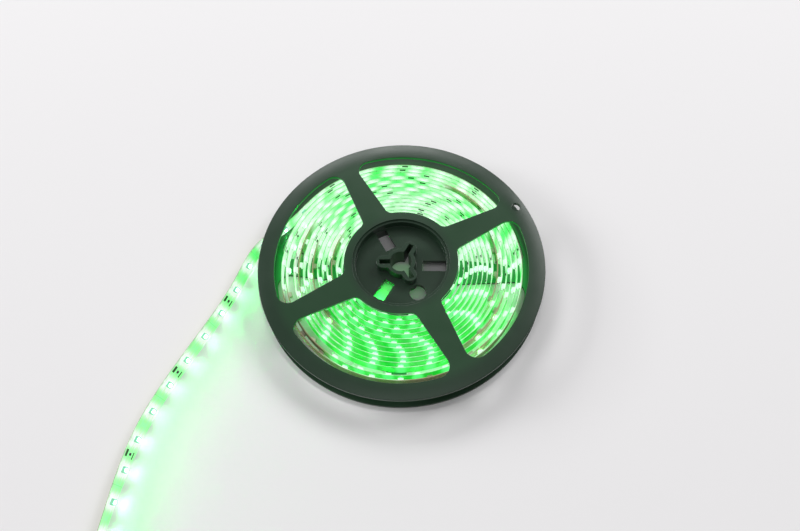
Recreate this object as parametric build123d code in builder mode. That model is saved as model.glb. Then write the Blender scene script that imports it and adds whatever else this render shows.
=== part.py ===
from build123d import *
from math import cos, degrees, radians, sin
import os

# Five metres of LED strip wound on a moulded reel, with its free end drawn off. The reel is a
# spool, that is a hub with the lower flange, and an upper flange pressed on the hub's end.
# Millimetres, +Z up. The origin is on the axis of the arbor hole, in the plane the reel lies
# on. The strip is wound anticlockwise from the hub outward, with its LEDs facing the hub.

# reel
reel_radius = 85.0
reel_height = 14.0
flange_thickness = 1.8
hub_radius = 30.0

# windows between the four tapering spokes of each flange
window_outer_radius = 75.4
window_inner_radius = 34.0
window_outer_corner = 7.0
window_inner_corner = 4.5
spoke_width_at_rim = 9.8
spoke_width_at_hub = 16.4
spoke_count = 4
upper_spoke_angle = 25.0
lower_spoke_angle = -5.0
rim_hole_radius = 2.75
rim_hole_position = 79.6

# hub: a cup towards each side with a web between them; its upper end sits in the upper flange
flange_hole_radius = 29.0
seat_inset = 0.9
cup_radius = 27.4
web_thickness = 2.4

# arbor boss with three keyways, each inside a lobe of the boss
arbor_radius = 6.5
boss_radius = 9.1
boss_draft = 0.4
boss_setback = 0.5
lobe_width = 8.2
lobe_reach = 14.6
keyway_width = 3.0
keyway_reach = 12.9
keyway_angle = 58.0
key_count = 3

# openings in the web, and the slot that lets the start of the strip into the hub
drive_slot_width = 6.8
drive_slot_start = 12.8
drive_slot_end = 27.0
drive_slot_angle = -4.0
locating_hole_radius = 5.0
locating_hole_position = 20.5
locating_hole_angle = 296.0
entry_slot_width = 13.0
entry_slot_bottom = 2.4
entry_slot_top = 5.4
entry_slot_angle = 236.0
entry_slot_start = 26.0

# strip: a flexible circuit with its adhesive and liner, cut every three LEDs
tape_width = 8.0
tape_thickness = 0.5
led_count = 300
led_pitch = 50.0 / 3
leds_per_segment = 3
led_length = 3.5
led_width = 2.8
led_height = 1.9
led_draft = 5.0
resistor_length = 2.0
resistor_width = 1.25
resistor_height = 0.5
solder_height = 0.02
strip_length = led_count * led_pitch
tape_middle = flange_thickness + tape_width / 2

# winding: the turns are half circles that join on one line through the axis. Their distances
# from the axis on that line alternate between its two ends, outermost first. The outer turns
# have sprung loose, and below them the turns lie one pitch apart. The tape is stiff under its
# chips and bends between them, so it follows this path in flats of half an LED pitch.
joining_line_angle = 45.0
loose_crossings = (75.1, 72.2, 72.3, 69.4, 69.6, 66.6, 64.7)
winding_pitch = 2.82
exit_angle = 138.0

# free end: plan points along the middle of the tape after it leaves the winding, where its
# lower edge lifts clear of the flange and comes down to the table, and where it leans back
# with its LEDs tilted up and comes upright again
free_end_points = (
    (-68.8, 33.3),
    (-84.6, 20.6),
    (-97.5, -3.1),
    (-117.4, -38.9),
    (-134.5, -67.2),
    (-148.5, -97.6),
    (-156.7, -129.2),
    (-165.0, -169.4),
)
lift_end = 16.0
drop_start = 38.0
drop_end = 82.0
flange_clearance = 0.05
table_clearance = 0.1
lean_back = 30.0
lean_start = 6.0
lean_full = 58.0
upright_start = 160.0
upright_end = 235.0

os.makedirs("parts", exist_ok=True)


def polar(radius, angle):
    """Plan point at a distance and an angle from the axis."""
    return Vector(radius * cos(radians(angle)), radius * sin(radians(angle)))


def ease(value, start, end):
    """Rise smoothly from 0 to 1 as a value goes from start to end."""
    share = min(max((value - start) / (end - start), 0), 1)
    return share * share * (3 - 2 * share)


# The path of the tape's middle line

def winding_crossings(innermost):
    """Distances from the axis where the winding crosses its joining line, outermost first."""
    distances = list(loose_crossings)
    while distances[-1] > innermost:
        distances.append(distances[-2] - winding_pitch)
    return distances


def winding_arcs(length):
    """Clockwise half circles of the winding, from the free end inward, to a total length.

    Each is a centre, a radius, a start angle and an end angle.
    """
    arcs = []
    distances = winding_crossings(hub_radius)
    for index, (start, end) in enumerate(zip(distances, distances[1:])):
        joint_angle = joining_line_angle + 180 * ((index + 1) % 2)
        centre = (polar(start, joint_angle) - polar(end, joint_angle)) / 2
        radius = (start + end) / 2
        start_angle = exit_angle if index == 0 else joint_angle
        end_angle = max(joint_angle - 180, start_angle - degrees(length / radius))
        arcs.append((centre, radius, start_angle, end_angle))
        length -= radius * radians(start_angle - end_angle)
        if length < 1e-6:
            return arcs


first_centre = (polar(loose_crossings[0], joining_line_angle + 180)
                + polar(loose_crossings[1], joining_line_angle)) / 2
first_radius = (loose_crossings[0] + loose_crossings[1]) / 2
exit_point = first_centre + polar(first_radius, exit_angle)
exit_direction = polar(1, exit_angle + 90)
end_direction = Vector(*free_end_points[-1]) - Vector(*free_end_points[-2])

with BuildLine() as free_end:
    Spline(exit_point, *free_end_points, tangents=(exit_direction, end_direction))

route = free_end.edge()
wound_length = strip_length - route.length
arcs = winding_arcs(wound_length)


def free_end_section(distance):
    """Cross-section plane of the free end: X towards the LEDs, Y up the tape."""
    share = distance / route.length
    along = route.tangent_at(share)
    side = Vector(-along.Y, along.X)
    leaning = ease(distance, lean_start, lean_full) * (1 - ease(distance, upright_start, upright_end))
    lean = radians(lean_back * leaning)
    lift = flange_clearance * ease(distance, 0, lift_end)
    drop = flange_thickness + flange_clearance - table_clearance
    lower_edge = flange_thickness + lift - drop * ease(distance, drop_start, drop_end)
    height = lower_edge + (tape_width * cos(lean) + tape_thickness * sin(lean)) / 2
    across = side * cos(lean) + Vector(0, 0, sin(lean))
    origin = route.position_at(share) + Vector(0, 0, height)
    return Plane(origin, x_dir=across, z_dir=along)


def winding_section(centre, radius, angle):
    """Cross-section plane of the winding: X towards the LEDs, Y up the tape."""
    origin = centre + polar(radius, angle) + Vector(0, 0, tape_middle)
    return Plane(origin, x_dir=polar(-1, angle), z_dir=polar(1, angle + 90))


def winding_place(distance):
    """Half circle of the winding at a distance from the inner end, and the angle on it."""
    left = wound_length - distance
    for index, (centre, radius, start_angle, end_angle) in enumerate(arcs):
        span = radius * radians(start_angle - end_angle)
        if left <= span + 1e-6:
            return index, start_angle - degrees(left / radius)
        left -= span


def section_at(distance):
    """Cross-section plane of the tape at a distance from its inner end."""
    if distance > wound_length:
        return free_end_section(distance - wound_length)
    index, angle = winding_place(distance)
    return winding_section(*arcs[index][:2], angle)


def turn_at(distance):
    """Turn of the winding, counted from the hub, at a distance from the inner end."""
    index = winding_place(distance)[0]
    return (len(arcs) - 1 - index) // 2 + 1


def chip_seat(distance):
    """Plane on which a chip is soldered: X along the tape, Z out of its LED side."""
    before = section_at(distance - led_pitch / 4)
    after = section_at(distance + led_pitch / 4)
    along = (after.origin - before.origin).normalized()
    outward = (before.y_dir + after.y_dir).cross(along).normalized()
    middle = (before.origin + after.origin) / 2
    lift = tape_thickness / 2 + solder_height
    return Plane(middle + outward * lift, x_dir=along, z_dir=outward)


# The reel

def spoke_corners():
    """Corners of one spoke lying along +X, from inside the hub to beyond the windows."""
    slope = (spoke_width_at_hub - spoke_width_at_rim) / (window_outer_radius - window_inner_radius)
    outer = window_outer_radius + window_outer_corner
    half_inner = (spoke_width_at_hub + slope * window_inner_radius) / 2
    half_outer = (spoke_width_at_rim - slope * window_outer_corner) / 2
    return [(0, half_inner), (outer, half_outer), (outer, -half_outer), (0, -half_inner)]


def flange_windows(spoke_angle):
    """Outline of the windows of one flange, between its spokes."""
    with BuildSketch() as windows:
        Circle(window_outer_radius)
        Circle(window_inner_radius, mode=Mode.SUBTRACT)
        with PolarLocations(0, spoke_count, spoke_angle):
            Polygon(*spoke_corners(), align=None, mode=Mode.SUBTRACT)
        corners = windows.vertices().group_by(lambda corner: Vector(corner).length)
        fillet(corners[-1], window_outer_corner)
        corners = windows.vertices().group_by(lambda corner: Vector(corner).length)
        fillet(corners[0], window_inner_corner)
    return windows.sketch


with BuildPart() as reel_spool:
    web_bottom = (reel_height - web_thickness) / 2
    web_top = (reel_height + web_thickness) / 2
    with BuildSketch(Plane.XZ):
        with BuildLine():
            Polyline(
                (0, boss_setback),
                (boss_radius - boss_draft, boss_setback),
                (boss_radius, web_bottom),
                (cup_radius, web_bottom),
                (cup_radius, 0),
                (reel_radius, 0),
                (reel_radius, flange_thickness),
                (hub_radius, flange_thickness),
                (hub_radius, reel_height - seat_inset),
                (cup_radius, reel_height - seat_inset),
                (cup_radius, web_top),
                (boss_radius, web_top),
                (boss_radius - boss_draft, reel_height - boss_setback),
                (0, reel_height - boss_setback),
                close=True,
            )
        make_face()
    revolve(axis=Axis.Z)
    with BuildSketch(Plane.XY.offset(boss_setback)):
        round_centre = lobe_reach - lobe_width / 2
        with PolarLocations(round_centre / 2, key_count, keyway_angle):
            SlotCenterToCenter(round_centre, lobe_width)
    extrude(amount=reel_height - 2 * boss_setback)
    with BuildSketch():
        add(flange_windows(lower_spoke_angle))
    extrude(amount=flange_thickness, mode=Mode.SUBTRACT)
    with BuildSketch():
        Circle(arbor_radius)
        with PolarLocations(keyway_reach / 2, key_count, keyway_angle):
            Rectangle(keyway_reach, keyway_width)
        slot_length = drive_slot_end - drive_slot_start
        with PolarLocations(drive_slot_start + slot_length / 2, key_count, drive_slot_angle):
            Rectangle(slot_length, drive_slot_width)
        with Locations(polar(locating_hole_position, locating_hole_angle)):
            Circle(locating_hole_radius)
    extrude(amount=reel_height, mode=Mode.SUBTRACT)
    entry = polar(1, entry_slot_angle)
    entry_middle = (entry_slot_bottom + entry_slot_top) / 2
    entry_origin = entry * entry_slot_start + Vector(0, 0, entry_middle)
    with BuildSketch(Plane(entry_origin, x_dir=polar(1, entry_slot_angle + 90), z_dir=entry)):
        Rectangle(entry_slot_width, entry_slot_top - entry_slot_bottom)
    extrude(amount=hub_radius, mode=Mode.SUBTRACT)
reel_spool.part.label = "reel_spool"
export_step(reel_spool.part, "parts/reel_spool.step")

with BuildPart() as reel_upper_flange:
    underside = Plane.XY.offset(reel_height - flange_thickness)
    with BuildSketch(underside):
        Circle(reel_radius)
        Circle(flange_hole_radius, mode=Mode.SUBTRACT)
        add(flange_windows(upper_spoke_angle), mode=Mode.SUBTRACT)
        with Locations(polar(rim_hole_position, upper_spoke_angle)):
            Circle(rim_hole_radius, mode=Mode.SUBTRACT)
    extrude(amount=flange_thickness)
    with BuildSketch(underside):
        Circle(hub_radius)
    extrude(amount=flange_thickness - seat_inset, mode=Mode.SUBTRACT)
reel_upper_flange.part.label = "reel_upper_flange"
export_step(reel_upper_flange.part, "parts/reel_upper_flange.step")


# The tape

bends = [led_pitch * (index + 0.5) / 2 for index in range(2 * led_count)]
wound_bends = [distance for distance in bends if distance < wound_length]
free_bends = [distance for distance in bends if distance > wound_length]
wound_sections = [section_at(distance) for distance in [0, *wound_bends]]
free_sections = [section_at(distance) for distance in [wound_bends[-1], *free_bends, strip_length]]

with BuildPart() as strip_tape:
    with BuildSketch(Plane.XY.offset(flange_thickness)):
        with BuildLine():
            half = tape_thickness / 2
            inner_side = [section.origin + section.x_dir * half for section in wound_sections]
            outer_side = [section.origin - section.x_dir * half for section in wound_sections]
            Polyline(*inner_side, *reversed(outer_side), close=True)
        make_face()
    extrude(amount=tape_width)
    for section in free_sections:
        with BuildSketch(section):
            Rectangle(tape_thickness, tape_width)
    loft(ruled=True)
strip_tape.part.label = "strip_tape"
export_step(strip_tape.part, "parts/strip_tape.step")


# The chips on it

with BuildPart() as led:
    with BuildSketch():
        Rectangle(led_length, led_width)
    extrude(amount=led_height, taper=led_draft)

with BuildPart() as resistor:
    with BuildSketch():
        Rectangle(resistor_length, resistor_width)
    extrude(amount=resistor_height)


def write_chips(chip, distances, label):
    """Write one file of chips that sit at these distances from the inner end."""
    with BuildPart() as chips:
        with Locations(*[chip_seat(distance) for distance in distances]):
            add(chip)
    chips.part.label = label
    export_step(chips.part, f"parts/{label}.step")


led_places = [led_pitch * (index + 0.5) for index in range(led_count)]
resistor_places = [led_pitch * (index + leds_per_segment - 1)
                   for index in range(0, led_count, leds_per_segment)]
for name, chip, places in (("led", led.part, led_places), ("resistor", resistor.part, resistor_places)):
    wound = [distance for distance in places if distance < wound_length]
    for turn in range(1, turn_at(wound_length) + 1):
        on_turn = [distance for distance in wound if turn_at(distance) == turn]
        write_chips(chip, on_turn, f"{name}s_turn_{turn:02}")
    for index, distance in enumerate(places[len(wound):], start=1):
        write_chips(chip, [distance], f"{name}_free_end_{index:02}")
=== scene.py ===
import math

import bpy
import numpy as np
from mathutils import Matrix, Vector


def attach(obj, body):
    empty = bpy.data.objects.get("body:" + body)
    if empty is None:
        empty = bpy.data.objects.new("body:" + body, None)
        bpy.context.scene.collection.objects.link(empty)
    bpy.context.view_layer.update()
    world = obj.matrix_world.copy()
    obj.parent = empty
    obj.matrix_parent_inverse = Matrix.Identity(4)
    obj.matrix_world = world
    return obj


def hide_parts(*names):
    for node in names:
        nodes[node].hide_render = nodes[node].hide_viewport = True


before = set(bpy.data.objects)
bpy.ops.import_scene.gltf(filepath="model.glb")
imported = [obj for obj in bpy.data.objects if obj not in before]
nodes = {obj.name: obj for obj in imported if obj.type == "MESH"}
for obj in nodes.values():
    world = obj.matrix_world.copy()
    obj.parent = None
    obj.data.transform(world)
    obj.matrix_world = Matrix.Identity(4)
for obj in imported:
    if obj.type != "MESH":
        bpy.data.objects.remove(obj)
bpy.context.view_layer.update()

# Camera: where it stands, what it looks at, its roll and lens
CAMERA_PLACE = Vector((0.0, -0.195, 0.3806))
CAMERA_TARGET = Vector((-0.00068, -0.00302, 0.0139))
CAMERA_ROLL = math.radians(-2.9)
CAMERA_LENS_MM = 31.5
CAMERA_SENSOR_MM = 36.0

MM = 0.001

# The strip: its segments of three LEDs, how far a chip's seat is from its middle, the rows of points
# from one LED to the next, and how far they stop short of its ends
SEGMENT = 50 * MM
LED_PITCH = SEGMENT / 3
TAPE_WIDTH = 8 * MM
SEAT = 0.27 * MM
ROWS_PER_PITCH = 8
END_INSET = 0.05 * MM

# Layers of the strip, as distances from its middle towards the LEDs
CIRCUIT = (0.05 * MM, 0.25 * MM)
ADHESIVE = (-0.08 * MM, 0.05 * MM)
ADHESIVE_INSET = 0.125 * MM
LINER = (-0.25 * MM, -0.08 * MM)

# Copper under the solder mask, as heights across the tape: two rails, and a pad between them under
# each LED that keeps clear of the middle between two LEDs
RAILS = ((0.5 * MM, 2.0 * MM), (6.0 * MM, 7.5 * MM))
PAD = (3.0 * MM, 5.0 * MM)
PAD_CLEAR = 1.2 * MM
PRINT_SOFT = 0.05 * MM

# The dark line at a cut starts and is full this far from it; the painted glow is dimmer at the tape's
# upper edge
CUT_LINE = (0.16 * MM, 0.12 * MM)
UPPER_EDGE = (7.45 * MM, 8.4 * MM)

# Dark bars beside a resistor: two distances from its middle along the tape, two heights across it
BARS = (
    (-2.2 * MM, 1.6 * MM, 5.7 * MM, 7.2 * MM),
    (-1.6 * MM, 2.2 * MM, 1.3 * MM, 2.1 * MM),
)

# Material slots of an LED; the same four follow once more for an LED that is off
SIDE, TOP, RESIN, TERMINAL = range(4)

# An LED in mm: length, width and height of each outline, radius and height of each ring of its cup,
# and the slot of each band from one to the next
LED_CORNER = 0.3
CORNER_STEPS = 7
LED_OUTLINES = (
    (3.34, 2.76, 0.0),
    (3.30, 2.72, 0.9),
    (3.24, 2.66, 0.96),
    (3.12, 2.48, 1.82),
    (3.0, 2.36, 1.9),
)
CUP_RINGS = ((1.14, 1.9), (1.10, 1.87), (0.94, 1.56), (0.55, 1.50))
BAND_SLOTS = (SIDE, SIDE, SIDE, SIDE, TOP, TOP, RESIN, RESIN)
TERMINAL_REACH = (1.5, 1.74)
TERMINAL_HALF_WIDTH = 1.05
TERMINAL_HEIGHT = 0.82

# A resistor in mm, its body and its two ends: from x to x, half its width, its height, its slot
RESISTOR_BLOCKS = (
    (-0.72, 0.72, 0.58, 0.46, 0),
    (-1.0, -0.62, 0.62, 0.5, 1),
    (0.62, 1.0, 0.62, 0.5, 1),
)

# Softboxes of the studio: place, what they look at, size and power
SOFTBOXES = {
    "right_softbox": ((1.85, 1.55, 1.75), (0, 0, 0), (1.3, 1.0), 36.0),
    "left_softbox": ((-3.40, 1.30, 1.15), (-0.08, -0.06, 0), (2.2, 0.9), 105.0),
    "back_softbox": ((-0.20, 2.50, 1.50), (0, 0, 0), (1.8, 0.7), 29.0),
    "top_softbox": ((0.0, -0.45, 2.20), (0, 0, 0), (1.2, 0.8), 3.6),
}
WORLD_COLOR = (1.0, 0.99, 1.0)
WORLD_STRENGTH = 0.32
FLOOR_COLOR = (0.85, 0.842, 0.85)
FLOOR_HALF = 3.0
FLOOR_DROP = 0.02 * MM

# Light of the winding that comes through the entry slot in the web and to the table inside the hub
GLOW_COLOR = (0.004, 1.0, 0.05)
HUB_GLOWS = {
    "entry_slot_glow": ((-0.0140, -0.0208, 0.0040), (-0.006, -0.010, -0.002), (0.010, 0.0026), 0.0028),
    "hub_glow": ((0.001, -0.003, 0.0012), (0.001, -0.003, 0.0), (0.024, 0.016), 0.00015),
}

# The same through two windows of the lower flange: angles and radius of their middles, how high the
# lamps are above the table, their size and power
WINDOW_ANGLES = (130, 310)
WINDOW_MIDDLE = 54.5 * MM
WINDOW_GLOW_HEIGHT = 1 * MM
WINDOW_GLOW_SIZE = (0.062, 0.036)
WINDOW_GLOW_POWER = 0.0022

# Light of a green LED: its colour, and its strength on the free end and in the winding
LED_GREEN = (0.03, 1.0, 0.06)
FREE_END_GREEN = (0.03, 1.0, 0.10)
FREE_END_STRENGTH = 340.0
WINDING_STRENGTH = 60.0

# Spot of light beside each LED of the free end: how far in front of the LED's seat it starts, how far
# out it falls, its cone, power and the size of its lamp
SPILL_COLOR = (0.30, 1.0, 0.45)
SPILL_START = 3.1 * MM
SPILL_REACH = 6.0 * MM
SPILL_ANGLE = math.radians(150)
SPILL_POWER = 0.0018
SPILL_SIZE = 0.5 * MM

# Painted glow of the lit circuit, for the LEDs' light on it: its colour between LEDs and at an LED, and
# how far the second reaches on the circuit and on the layers behind it
BOARD_DEEP = (0.06, 0.92, 0.13)
BOARD_PALE = (0.88, 1.0, 0.92)
BOARD_REACH = 4.8 * MM
FILM_REACH = 3.2 * MM

# Painted bright patches of pale glow lie on the winding and fade out between these distances from the
# axis
PATCH_END = (76 * MM, 84 * MM)

# Painted light: green glow on the reel's faces that stands for the winding's light falling on them: two
# distances from the axis in mm with their softness, two heights with theirs, and its strength
PAINTED_REEL_LIGHT_COLOR = (0.03, 1.0, 0.12)
PAINTED_REEL_LIGHT = (
    ((31, 76, 1.5), (1.5, 2.1, 0.1), 0.22),  # lower flange, under the winding
    ((76, 81, 1.5), (1.5, 2.1, 0.1), 0.035),  # lower flange, outside the winding
    ((30, 75.7, 0.3), (12.0, 13.6, 0.3), 0.14),  # underside of the upper flange, walls of its windows
    ((31, 76, 3), (13.7, 15.0, 0.1), 0.014),  # top of its spokes
)

# Above a height the rim takes light as if it fell away beyond a radius, by so many metres for the
# square of each metre, and every edge as if it were rounded
RIM_START = 75 * MM
RIM_LOWEST = 7 * MM
RIM_FALL = -11.0
REEL_EDGE = 0.4 * MM

# Share of the liner's painted glow where no turn lies behind it, and the length over which it falls to
# that
LEAST_BACKED = 0.12
BACKED_FADE = 40 * MM

# The CAD's turns start at this angle, and their LEDs are put in order from it
TURN_START = 225

# Stretches of the winding whose LEDs are off: two angles, and two distances from the axis in mm
UNLIT = (
    (120, 197, 61.4, 63.8),
    (160, 224, 51.3, 53.8),
    (145, 215, 41.4, 43.8),
    (33, 60, 61.8, 64.4),
    (-30, 20, 55.6, 58.2),
    (-60, -20, 61.4, 64.0),
    (-58, -45, 68.4, 71.0),
    (190, 232, 67.0, 72.6),
    (268, 290, 70.4, 74.4),
)


# Materials

class Tree:
    """A new material and short ways to add and join its nodes."""

    def __init__(self, name):
        self.material = bpy.data.materials.new(name)
        self.material.use_nodes = True
        self.nodes = self.material.node_tree.nodes
        self.links = self.material.node_tree.links
        self.shader = self.nodes["Principled BSDF"]

    def put(self, socket, value):
        """Links a socket to another node's output, or sets its value."""
        if hasattr(value, "is_output"):
            self.links.new(value, socket)
        elif isinstance(value, tuple) and len(value) == 3 and socket.type == "RGBA":
            socket.default_value = (*value, 1.0)
        else:
            socket.default_value = value

    def add(self, kind, *values, **settings):
        """A node with its settings, and values for its sockets in their order."""
        node = self.nodes.new(kind)
        for key, value in settings.items():
            setattr(node, key, value)
        for socket, value in zip([s for s in node.inputs if s.enabled], values):
            self.put(socket, value)
        return node

    def math(self, operation, *values, **settings):
        return self.add("ShaderNodeMath", *values, operation=operation, **settings).outputs[0]

    def product(self, first, *others):
        for other in others:
            first = self.math("MULTIPLY", first, other)
        return first

    def ramp(self, value, low, high, at_low=0.0, at_high=1.0):
        """at_low up to a value of low, at_high from a value of high, and even between them."""
        return self.add("ShaderNodeMapRange", value, low, high, at_low, at_high).outputs[0]

    def split(self, place):
        """The three coordinates of a place."""
        return self.add("ShaderNodeSeparateXYZ", place).outputs

    def noise(self, scale, detail, roughness, place):
        node = self.add("ShaderNodeTexNoise", place)
        node.inputs["Scale"].default_value = scale
        node.inputs["Detail"].default_value = detail
        node.inputs["Roughness"].default_value = roughness
        return node.outputs[0]

    def attribute(self, name):
        return self.add("ShaderNodeAttribute", attribute_name=name).outputs["Fac"]

    def object_place(self):
        return self.add("ShaderNodeTexCoord").outputs["Object"]

    def strip_place(self):
        """Distance along the strip and height across it, from its map."""
        return self.split(self.add("ShaderNodeUVMap").outputs[0])[:2]

    def between(self, value, low, high, soft):
        """1 where a value lies between two limits, with soft ends."""
        rise = self.ramp(value, low - soft, low + soft)
        fall = self.ramp(value, high - soft, high + soft)
        return self.math("SUBTRACT", rise, fall)

    def radius(self, place):
        """Distance of a place from the reel's axis."""
        squares = [self.math("POWER", part, 2.0) for part in self.split(place)[:2]]
        return self.math("SQRT", self.math("ADD", *squares))

    def mix(self, share, first, second):
        node = self.add("ShaderNodeMix", data_type="RGBA")
        self.put(node.inputs[0], share)
        self.put(node.inputs[6], first)
        self.put(node.inputs[7], second)
        return node.outputs[2]

    def bump(self, height, distance, strength=1.0, normal=None):
        node = self.add("ShaderNodeBump")
        node.inputs["Strength"].default_value = strength
        node.inputs["Distance"].default_value = distance
        self.put(node.inputs["Height"], height)
        if normal is not None:
            self.put(node.inputs["Normal"], normal)
        return node.outputs[0]

    def surface(self, **values):
        """Sets inputs of the shader by their names."""
        for key, value in values.items():
            self.put(self.shader.inputs[key.replace("_", " ")], value)


def painted_reel_light(tree, radius, height):
    """Strength of the painted green light on the reel at a distance from its axis and a height."""
    total = 0.0
    for (inner, outer, soft), (bottom, top, soft_end), strength in PAINTED_REEL_LIGHT:
        part = tree.product(tree.between(radius, inner * MM, outer * MM, soft * MM),
                            tree.between(height, bottom * MM, top * MM, soft_end * MM), strength)
        total = tree.math("ADD", total, part)
    return total


def reel_plastic():
    tree = Tree("reel_plastic")
    place = tree.object_place()
    grain = tree.noise(2600.0, 3.0, 0.6, place)
    wave = tree.noise(38.0, 3.0, 0.5, place)
    tone = tree.mix(wave, (0.010, 0.032, 0.015), (0.014, 0.040, 0.020))
    radius = tree.radius(place)
    height = tree.split(place)[2]
    outside = tree.math("MAXIMUM", tree.math("SUBTRACT", radius, RIM_START), 0.0)
    upper = tree.math("GREATER_THAN", height, RIM_LOWEST)
    fall = tree.product(tree.math("POWER", outside, 2.0), upper, RIM_FALL)
    edges = tree.add("ShaderNodeBevel", samples=6)
    edges.inputs["Radius"].default_value = REEL_EDGE
    domed = tree.bump(fall, 1.0, normal=edges.outputs[0])
    tree.surface(Base_Color=tone, Roughness=tree.ramp(wave, 0.35, 0.65, 0.30, 0.38))
    tree.surface(Specular_IOR_Level=0.5, Normal=tree.bump(grain, 0.00002, 0.35, domed))
    # Painted light: green emission where the winding's light falls on the reel
    tree.surface(Emission_Color=PAINTED_REEL_LIGHT_COLOR, Emission_Strength=painted_reel_light(tree, radius, height))
    return tree.material


def led_halo(tree, along, reach):
    """1 at each LED along the strip, falling to 0 at a distance from it."""
    in_pitch = tree.math("WRAP", along, LED_PITCH, 0.0)
    beside = tree.math("ABSOLUTE", tree.math("SUBTRACT", in_pitch, LED_PITCH / 2))
    falling = tree.math("POWER", tree.math("DIVIDE", beside, reach), 4.0)
    return tree.math("EXPONENT", tree.math("MULTIPLY", falling, -1.0))


def dark_bars(tree, in_segment, across):
    """1 on the bars beside the resistor, which sits between the second and third LED of a segment."""
    middle = 2 * LED_PITCH
    bars = [tree.product(tree.between(in_segment, middle + low, middle + high, PRINT_SOFT),
                         tree.between(across, bottom, top, PRINT_SOFT))
            for low, high, bottom, top in BARS]
    return tree.math("MAXIMUM", *bars)


def copper_tracks(tree, in_pitch, across):
    """1 over the two rails and over the pad at each LED."""
    rails = [tree.between(across, low, high, PRINT_SOFT) for low, high in RAILS]
    pad = tree.product(tree.between(across, *PAD, PRINT_SOFT),
                       tree.between(in_pitch, PAD_CLEAR, LED_PITCH - PAD_CLEAR, PRINT_SOFT))
    return tree.math("ADD", tree.math("ADD", *rails), pad, use_clamp=True)


def circuit_board():
    """Solder mask over copper with cut lines and dark bars, and painted glow and a greener base where the
    strip is lit.
    """
    tree = Tree("circuit_board")
    place = tree.object_place()
    along, across = tree.strip_place()
    in_segment = tree.math("WRAP", along, SEGMENT, 0.0)
    in_pitch = tree.math("WRAP", along, LED_PITCH, 0.0)
    lit = tree.attribute("lit")
    copper = copper_tracks(tree, in_pitch, across)
    bars = dark_bars(tree, in_segment, across)

    from_middle = tree.math("ABSOLUTE", tree.math("SUBTRACT", in_segment, SEGMENT / 2))
    cut_line = tree.ramp(from_middle, *(SEGMENT / 2 - beside for beside in CUT_LINE))
    # Painted light: the mask's base colour turns green where the strip is lit
    mask = tree.mix(lit, (0.50, 0.43, 0.27), (0.44, 0.62, 0.46))
    mask = tree.mix(tree.math("MULTIPLY", copper, 0.35), mask, (0.55, 0.52, 0.34))
    mask = tree.mix(tree.math("MULTIPLY", cut_line, 0.6), mask, (0.05, 0.06, 0.05))
    mask = tree.mix(bars, mask, (0.02, 0.03, 0.01))

    # Painted light: pale glow at each LED and in bright patches, deep green glow between them
    patches = tree.ramp(tree.noise(34.0, 1.0, 0.5, place), 0.40, 0.58, 0.0, 0.9)
    patches = tree.math("MULTIPLY", patches, tree.ramp(tree.radius(place), *PATCH_END, 1.0, 0.0))
    halo = tree.math("MAXIMUM", led_halo(tree, along, BOARD_REACH), patches)

    # The painted glow is weaker along the upper edge, a painted shade, and over the copper and in streaks
    edge = tree.between(across, *UPPER_EDGE, 0.1 * MM)
    grid = tree.add("ShaderNodeCombineXYZ", tree.math("MULTIPLY", along, 260.0),
                    tree.math("MULTIPLY", across, 1300.0), 0.0).outputs[0]
    streaks = tree.ramp(tree.noise(1.0, 2.0, 0.6, grid), 0.36, 0.62, 0.42, 0.0)
    shade = tree.math("ADD", tree.math("MULTIPLY", copper, 0.12), tree.math("MULTIPLY", edge, 0.45))
    bright = tree.math("SUBTRACT", 1.0, tree.math("ADD", shade, streaks))
    unprinted = tree.math("SUBTRACT", 1.0, tree.math("MULTIPLY", bars, 0.93))
    tree.surface(Base_Color=mask, Roughness=0.38, Normal=tree.bump(copper, 0.00003, 0.6))
    tree.surface(Emission_Color=tree.mix(halo, BOARD_DEEP, BOARD_PALE))
    tree.surface(Emission_Strength=tree.product(lit, bright, unprinted))
    return tree.material


def glowing_film(name, unlit_color, lit_color, deep, pale, strength):
    """A film with painted glow where the strip is lit, most at its LEDs, and a darker, greener base
    colour there.
    """
    tree = Tree(name)
    lit = tree.attribute("lit")
    halo = led_halo(tree, tree.strip_place()[0], FILM_REACH)
    patchy = tree.math("ADD", 0.45, tree.noise(260.0, 2.0, 0.5, tree.object_place()))
    # Painted light: glow and lit base colour stand for the LEDs' light in and on the film
    glow = tree.product(lit, strength, patchy, tree.ramp(halo, 0.0, 1.0, 0.7, 1.0))
    tree.surface(Base_Color=tree.mix(lit, unlit_color, lit_color), Roughness=0.5)
    tree.surface(Emission_Color=tree.mix(halo, deep, pale), Emission_Strength=glow)
    return tree.material


def plain(name, color, roughness, **values):
    """An unlit surface of one colour, a little uneven."""
    tree = Tree(name)
    tone = tree.noise(900.0, 2.0, 0.5, tree.object_place())
    darker = tuple(0.86 * part for part in color)
    tree.surface(Base_Color=tree.mix(tone, darker, color), Roughness=roughness, **values)
    return tree.material


def lamp(name, color, strength, base=(0.8, 0.85, 0.8)):
    """A surface that shines in one colour."""
    tree = Tree(name)
    tree.surface(Base_Color=base, Roughness=0.3, Emission_Color=color, Emission_Strength=strength)
    return tree.material


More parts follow.
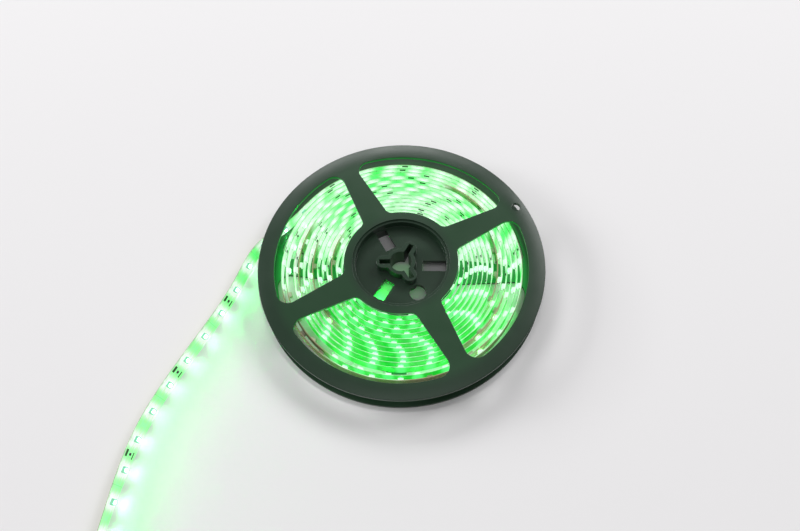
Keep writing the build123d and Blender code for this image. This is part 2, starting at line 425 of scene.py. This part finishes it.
materials = {
    "reel": reel_plastic(),
    "circuit": circuit_board(),
    "adhesive": glowing_film("adhesive_film", (0.50, 0.44, 0.28), (0.20, 0.34, 0.20),
                             (0.10, 0.9, 0.18), (0.85, 1.0, 0.88), 1.0),
    "liner": glowing_film("release_liner", (0.40, 0.36, 0.20), (0.03, 0.16, 0.04),
                          (0.003, 0.85, 0.03), (0.10, 1.0, 0.20), 0.95),
    # LED housings shine by emission: partly light through the white housing, partly painted glow; on the
    # free end dimmer and teal over a darker base, a painted shade round the cup
    "side": lamp("led_side", (0.66, 1.0, 0.74), 0.95, (0.3, 0.4, 0.3)),
    "side_free": lamp("led_side_free_end", (0.30, 0.95, 0.60), 0.62, (0.10, 0.16, 0.12)),
    "side_off": plain("led_side_off", (0.66, 0.63, 0.50), 0.4),
    "top": lamp("led_top", (0.75, 1.0, 0.80), 1.3),
    "top_free": lamp("led_top_free_end", (0.34, 0.92, 0.62), 0.70, (0.10, 0.16, 0.12)),
    "top_off": plain("led_top_off", (0.74, 0.72, 0.62), 0.4),
    "resin": lamp("led_resin", LED_GREEN, WINDING_STRENGTH),
    "resin_free": lamp("led_resin_free_end", FREE_END_GREEN, FREE_END_STRENGTH),
    "resin_off": plain("led_resin_off", (0.70, 0.66, 0.42), 0.15),
    "terminal": plain("led_terminal", (0.74, 0.74, 0.72), 0.28, Metallic=1.0),
    "chip": plain("resistor_body", (0.012, 0.012, 0.012), 0.35),
    "chip_end": plain("resistor_end", (0.70, 0.70, 0.68), 0.3, Metallic=1.0),
}


# Meshes

class Builder:
    """Collects vertices and faces, and makes one object of them."""

    def __init__(self):
        self.vertices = []
        self.faces = []
        self.slots = []
        self.count = 0

    def add(self, vertices, faces, slots):
        self.vertices.append(np.asarray(vertices))
        self.faces.extend([tuple(self.count + i for i in face) for face in faces])
        self.slots.extend(slots)
        self.count += len(vertices)

    def make(self, name, materials_used, sharp=35):
        """The object, smooth except where faces meet at more than an angle in degrees."""
        mesh = bpy.data.meshes.new(name)
        mesh.from_pydata(np.concatenate(self.vertices).tolist(), [], self.faces)
        for material in materials_used:
            mesh.materials.append(material)
        mesh.polygons.foreach_set("material_index", self.slots)
        mesh.shade_smooth()
        mesh.set_sharp_from_angle(angle=math.radians(sharp))
        made = bpy.data.objects.new(name, mesh)
        bpy.context.scene.collection.objects.link(made)
        return made


def rounded_rectangle(length, width, corner):
    """Points round a rectangle about the origin, from +X anticlockwise, a corner at a time."""
    points = []
    for turn, (sx, sy) in enumerate(((1, 1), (-1, 1), (-1, -1), (1, -1))):
        for step in range(CORNER_STEPS + 1):
            angle = math.radians(90 * (turn + step / CORNER_STEPS))
            x = sx * (length / 2 - corner) + corner * math.cos(angle)
            y = sy * (width / 2 - corner) + corner * math.sin(angle)
            points.append((x, y))
    return np.array(points)


def bands(loops):
    """Quads between loops that each hold the same number of points."""
    count = len(loops[0])
    faces = []
    for ring in range(len(loops) - 1):
        for i in range(count):
            j = (i + 1) % count
            a, b = ring * count, (ring + 1) * count
            faces.append((a + i, a + j, b + j, b + i))
    return faces


def block(x0, x1, y0, y1, z0, z1):
    """Corners and faces of a box."""
    corners = [(x, y, z) for z in (z0, z1) for y in (y0, y1) for x in (x0, x1)]
    faces = [(0, 2, 3, 1), (4, 5, 7, 6), (0, 1, 5, 4), (2, 6, 7, 3), (0, 4, 6, 2), (1, 3, 7, 5)]
    return np.array(corners), faces


def joined(shapes):
    """One shape in metres from (vertices in mm, faces, slots) of several."""
    vertices, faces, slots, count = [], [], [], 0
    for corners, sides, used in shapes:
        vertices.append(corners)
        faces += [tuple(count + i for i in face) for face in sides]
        slots += used
        count += len(corners)
    return np.concatenate(vertices) * MM, faces, slots


def led_shape():
    """One LED, its seat at the origin, lying along X and shining along +Z."""
    count = 4 * (CORNER_STEPS + 1)
    loops = []
    for length, width, height in LED_OUTLINES:
        outline = rounded_rectangle(length, width, LED_CORNER)
        loops.append(np.column_stack((outline, np.full(count, height))))
    length, width = LED_OUTLINES[-1][:2]
    angles = np.arctan2(loops[-1][:, 1] / width, loops[-1][:, 0] / length)
    for radius, height in CUP_RINGS:
        ring = (radius * np.cos(angles), radius * np.sin(angles), np.full(count, height))
        loops.append(np.column_stack(ring))
    last = count * (len(loops) - 1)
    ends = [tuple(range(last, last + count)), tuple(reversed(range(count)))]
    slots = [slot for slot in BAND_SLOTS for _ in range(count)] + [RESIN, SIDE]
    shapes = [(np.concatenate(loops), bands(loops) + ends, slots)]
    for side in (-1, 1):
        low, high = sorted(side * reach for reach in TERMINAL_REACH)
        box = block(low, high, -TERMINAL_HALF_WIDTH, TERMINAL_HALF_WIDTH, 0.0, TERMINAL_HEIGHT)
        shapes.append((*box, [TERMINAL] * 6))
    return joined(shapes)


def resistor_shape():
    """One resistor, its seat at the origin, lying along X: slot 0 for its body and 1 for its ends."""
    return joined([(*block(x0, x1, -y, y, 0.0, z), [slot] * 6) for x0, x1, y, z, slot in RESISTOR_BLOCKS])


# Where each LED sits, read from the CAD

def solids_of(node):
    """Welded corners and faces of each separate solid of a CAD node."""
    mesh = nodes[node].data
    mesh.calc_loop_triangles()
    places = np.empty(len(mesh.vertices) * 3)
    mesh.vertices.foreach_get("co", places)
    triangles = np.empty(len(mesh.loop_triangles) * 3, int)
    mesh.loop_triangles.foreach_get("vertices", triangles)
    rounded = np.round(places.reshape(-1, 3), 6)
    corners, index = np.unique(rounded, axis=0, return_inverse=True)
    triangles = index.reshape(-1)[triangles].reshape(-1, 3)
    owner = np.arange(len(corners))
    changed = True
    while changed:
        lowest = owner[triangles].min(axis=1)
        before = owner.copy()
        for column in range(3):
            np.minimum.at(owner, triangles[:, column], lowest)
        changed = (owner != before).any()
    for first in np.unique(owner):
        yield corners, triangles[owner[triangles[:, 0]] == first]


def seat_of(corners, triangles):
    """Seat of one chip as (place, along, facing): its largest face, and the way it looks."""
    same_way = 0.99
    a, b, c = (corners[triangles[:, i]] for i in range(3))
    normals = np.cross(b - a, c - a)
    areas = np.linalg.norm(normals, axis=1) / 2
    normals = normals / (2 * areas[:, None])
    sizes = [(areas[normals @ normal > same_way].sum(), i) for i, normal in enumerate(normals)]
    base = normals @ normals[max(sizes)[1]] > same_way
    points = corners[np.unique(triangles[base])]
    facing = -normals[base][0]
    sides = [points[i] - points[0] for i in range(1, 4)]
    sides.sort(key=np.linalg.norm)
    along = sides[1] / np.linalg.norm(sides[1])
    if np.cross(along, facing)[2] < 0:
        along = -along
    return points.mean(axis=0), along, facing


def led_order(seat):
    """How far round its turn an LED sits, in degrees."""
    angle = math.degrees(math.atan2(seat[0][1], seat[0][0]))
    return (angle - TURN_START) % 360


wound_nodes = sorted(name for name in nodes if name.startswith("leds_turn"))
free_nodes = sorted(name for name in nodes if name.startswith("led_free_end"))
led_seats = []
led_owner = []
for name in wound_nodes + free_nodes:
    seats = sorted((seat_of(*solid) for solid in solids_of(name)), key=led_order)
    led_seats += seats
    led_owner += [name] * len(seats)


# The strip's path through the seats of its LEDs

middles = np.array([place - facing * SEAT for place, along, facing in led_seats])
alongs = np.array([along for place, along, facing in led_seats])
facings = np.array([facing for place, along, facing in led_seats])


def path_row(first, share):
    """Place, along and facing of the strip's middle, at a share of the way to the next LED."""
    a, b = middles[first], middles[first + 1]
    turn = math.acos(min(1.0, float(alongs[first] @ alongs[first + 1])))
    reach = np.linalg.norm(b - a) * (turn / 2 / math.sin(turn / 2) if turn > 1e-6 else 1.0)
    ta, tb = alongs[first] * reach, alongs[first + 1] * reach
    s = share
    place = ((2 * s**3 - 3 * s**2 + 1) * a + (s**3 - 2 * s**2 + s) * ta
             + (3 * s**2 - 2 * s**3) * b + (s**3 - s**2) * tb)
    along = ((6 * s**2 - 6 * s) * a + (3 * s**2 - 4 * s + 1) * ta
             + (6 * s - 6 * s**2) * b + (3 * s**2 - 2 * s) * tb)
    along /= np.linalg.norm(along)
    facing = facings[first] * (1 - s) + facings[first + 1] * s
    facing -= along * (facing @ along)
    return place, along, facing / np.linalg.norm(facing)


def path_at(distance):
    """The same at a distance along the strip from its inner end, in metres."""
    position = distance / LED_PITCH - 0.5
    first = min(max(int(math.floor(position)), 0), len(middles) - 2)
    share = position - first
    if 0 <= share <= 1:
        return path_row(first, share)
    place, along, facing = path_row(first, min(max(share, 0), 1))
    step = (share - min(max(share, 0), 1)) * LED_PITCH
    bend = (alongs[first + 1] - alongs[first]) / LED_PITCH
    place = place + along * step + bend * step * step / 2
    along = along + bend * step
    along /= np.linalg.norm(along)
    facing = facing - along * (facing @ along)
    return place, along, facing / np.linalg.norm(facing)


STRIP_LENGTH = len(led_seats) * LED_PITCH
row_count = len(led_seats) * ROWS_PER_PITCH + 1
row_places = np.linspace(END_INSET, STRIP_LENGTH - END_INSET, row_count)
rows = [path_at(distance) for distance in row_places]


def is_unlit(place):
    """True on the stretches of the winding whose LEDs are off."""
    x, y = place[0] / MM, place[1] / MM
    angle, radius = math.degrees(math.atan2(y, x)), math.hypot(x, y)
    return any((angle - low) % 360 <= high - low and inner <= radius <= outer
               for low, high, inner, outer in UNLIT)


# How lit each row is, evened out over two rows on each side
row_lit = np.array([0.0 if is_unlit(row[0]) else 1.0 for row in rows])
row_lit = np.convolve(np.pad(row_lit, 2, mode="edge"), np.ones(5) / 5, mode="valid")

# No turn lies behind the outermost one and the free end to light their backs
outermost = (led_owner.count(wound_nodes[-1]) + len(free_nodes)) * LED_PITCH
row_backed = np.clip((STRIP_LENGTH - outermost - row_places) / BACKED_FADE, 0.0, 1.0)
row_backed = row_backed * (1.0 - LEAST_BACKED) + LEAST_BACKED


def strip_layer(name, depths, width, material, row_glow):
    """One layer of the strip between two distances from its middle, with its map along it."""
    back, front = depths
    half = width / 2
    offsets = ((front, -half), (front, half), (back, half), (back, -half))
    vertices = []
    for place, along, facing in rows:
        up = np.cross(along, facing)
        vertices += [place + facing * depth + up * height for depth, height in offsets]
    faces, spots = [], []
    for row in range(len(rows) - 1):
        for side in range(4):
            after = (side + 1) % 4
            faces.append((4 * row + side, 4 * row + after, 4 * row + 4 + after, 4 * row + 4 + side))
            for end, corner in ((0, side), (0, after), (1, after), (1, side)):
                spots.append((row_places[row + end], offsets[corner][1] + TAPE_WIDTH / 2))
    last = 4 * (len(rows) - 1)
    faces += [(3, 2, 1, 0), (last, last + 1, last + 2, last + 3)]
    for row, corners in ((0, (3, 2, 1, 0)), (len(rows) - 1, (0, 1, 2, 3))):
        spots += [(row_places[row], offsets[corner][1] + TAPE_WIDTH / 2) for corner in corners]
    builder = Builder()
    builder.add(vertices, faces, [0] * len(faces))
    made = builder.make(name, [material], sharp=50)
    layer = made.data.uv_layers.new(name="strip")
    layer.data.foreach_set("uv", np.array(spots).ravel())
    lit = made.data.attributes.new("lit", "FLOAT", "POINT")
    lit.data.foreach_set("value", np.repeat(row_glow, 4))
    return made


def settle(piece, slot, *replaced):
    """Ties a piece to the root body and hides the CAD nodes that it stands for; its slot is not used."""
    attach(piece, "root")
    if replaced:
        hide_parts(*replaced)


adhesive_width = TAPE_WIDTH - 2 * ADHESIVE_INSET
circuit = strip_layer("strip_circuit", CIRCUIT, TAPE_WIDTH, materials["circuit"], row_lit)
adhesive = strip_layer("strip_adhesive", ADHESIVE, adhesive_width, materials["adhesive"], row_lit)
liner = strip_layer("strip_liner", LINER, TAPE_WIDTH, materials["liner"], row_lit * row_backed)
settle(circuit, "tape", "strip_tape")
settle(adhesive, "tape")
settle(liner, "tape")


def stand(seat):
    """Turn and shift that put a chip drawn along X and shining along Z onto a seat."""
    place, along, facing = seat
    across = np.cross(facing, along)
    return np.column_stack((along, across, facing)), place


def put_shape(builder, shape, seat, shift=0):
    """Adds a shape on a seat, with its slots moved up by a number."""
    turn, place = stand(seat)
    vertices, faces, slots = shape
    builder.add(vertices @ turn.T + place, faces, [slot + shift for slot in slots])


one_led = led_shape()
off_looks = ("side_off", "top_off", "resin_off", "terminal")
for name in wound_nodes + free_nodes:
    wound = name in wound_nodes
    ending = "" if wound else "_free"
    looks = ("side" + ending, "top" + ending, "resin" + ending, "terminal", *off_looks)
    builder = Builder()
    for seat, owner in zip(led_seats, led_owner):
        if owner == name:
            off = wound and is_unlit(seat[0])
            put_shape(builder, one_led, seat, len(off_looks) if off else 0)
    lamps = builder.make(name.replace("led", "lamp"), [materials[look] for look in looks])
    settle(lamps, "led", name)

# A resistor sits between the second and third LED of each segment
one_resistor = resistor_shape()
resistor_places = [LED_PITCH * (index + 2) for index in range(0, len(led_seats), 3)]
resistor_rows = [path_at(distance) for distance in resistor_places]
resistor_seats = [(place + facing * SEAT, along, facing) for place, along, facing in resistor_rows]
for name in sorted(name for name in nodes if name.startswith("resistor")):
    builder = Builder()
    for solid in solids_of(name):
        centre = solid[0][np.unique(solid[1])].mean(axis=0)
        nearest = min(resistor_seats, key=lambda seat: np.linalg.norm(seat[0] - centre))
        put_shape(builder, one_resistor, nearest)
    chips = builder.make(name.replace("resistor", "chip"), [materials["chip"], materials["chip_end"]])
    settle(chips, "resistor", name)

for name in ("reel_spool", "reel_upper_flange"):
    nodes[name].data.materials.clear()
    nodes[name].data.materials.append(materials["reel"])


# Stage, light and camera

def add_floor():
    tree = Tree("table_top")
    tree.surface(Base_Color=FLOOR_COLOR, Roughness=0.9, Specular_IOR_Level=0.0)
    signs = ((-1, -1), (1, -1), (1, 1), (-1, 1))
    corners = [(x * FLOOR_HALF, y * FLOOR_HALF, -FLOOR_DROP) for x, y in signs]
    mesh = bpy.data.meshes.new("table_top")
    mesh.from_pydata(corners, [], [(0, 1, 2, 3)])
    mesh.materials.append(tree.material)
    floor = bpy.data.objects.new("table_top", mesh)
    bpy.context.scene.collection.objects.link(floor)


def add_light(name, place, target, size, power, color=(1.0, 1.0, 1.0)):
    """A rectangular lamp that looks at a target."""
    light = bpy.data.lights.new(name, "AREA")
    light.shape = "RECTANGLE"
    light.size, light.size_y = size
    light.energy = power
    light.color = color
    made = bpy.data.objects.new(name, light)
    made.location = place
    made.rotation_euler = (Vector(target) - Vector(place)).to_track_quat("-Z", "Y").to_euler()
    bpy.context.scene.collection.objects.link(made)
    return made


def add_window_glows():
    """Lamps just above the table that shine down on it in two windows of the lower flange."""
    for index, turned in enumerate(WINDOW_ANGLES):
        angle = math.radians(turned)
        middle = Vector((math.cos(angle), math.sin(angle), 0)) * WINDOW_MIDDLE
        above = middle + Vector((0, 0, WINDOW_GLOW_HEIGHT))
        glow = add_light(f"window_glow_{index}", above, middle,
                         WINDOW_GLOW_SIZE, WINDOW_GLOW_POWER, GLOW_COLOR)
        glow.rotation_euler = (0, 0, angle + math.pi / 2)


def add_spills():
    """The spot of light that each LED of the free end throws on the table beside it."""
    free_seats = led_seats[-len(free_nodes):]
    for index, (place, along, facing) in enumerate(free_seats, 1):
        outward = Vector((facing[0], facing[1], 0)).normalized()
        start = Vector(place + facing * SPILL_START)
        target = Vector((place[0], place[1], 0)) + outward * SPILL_REACH
        light = bpy.data.lights.new(f"led_spill_{index:02}", "SPOT")
        light.energy = SPILL_POWER
        light.color = SPILL_COLOR
        light.spot_size = SPILL_ANGLE
        light.spot_blend = 1.0
        light.shadow_soft_size = SPILL_SIZE
        made = bpy.data.objects.new(light.name, light)
        made.location = start
        made.rotation_euler = (target - start).to_track_quat("-Z", "Y").to_euler()
        bpy.context.scene.collection.objects.link(made)


def add_world():
    world = bpy.data.worlds.new("studio")
    bpy.context.scene.world = world
    world.use_nodes = True
    background = world.node_tree.nodes["Background"]
    background.inputs[0].default_value = (*WORLD_COLOR, 1.0)
    background.inputs[1].default_value = WORLD_STRENGTH


def add_camera():
    forward = (CAMERA_TARGET - CAMERA_PLACE).normalized()
    level_right = forward.cross(Vector((0, 0, 1))).normalized()
    level_up = level_right.cross(forward)
    right = level_right * math.cos(CAMERA_ROLL) + level_up * math.sin(CAMERA_ROLL)
    up = right.cross(forward)
    camera = bpy.data.objects.new("camera", bpy.data.cameras.new("camera"))
    bpy.context.scene.collection.objects.link(camera)
    camera.data.lens = CAMERA_LENS_MM
    camera.data.sensor_width = CAMERA_SENSOR_MM
    axes = Matrix((right, up, -forward)).transposed().to_4x4()
    camera.matrix_world = Matrix.Translation(CAMERA_PLACE) @ axes
    bpy.context.scene.camera = camera


add_floor()
add_world()
for name, values in SOFTBOXES.items():
    add_light(name, *values)
for name, values in HUB_GLOWS.items():
    add_light(name, *values, GLOW_COLOR)
add_window_glows()
add_spills()
add_camera()
bpy.context.scene.view_settings.view_transform = "Standard"
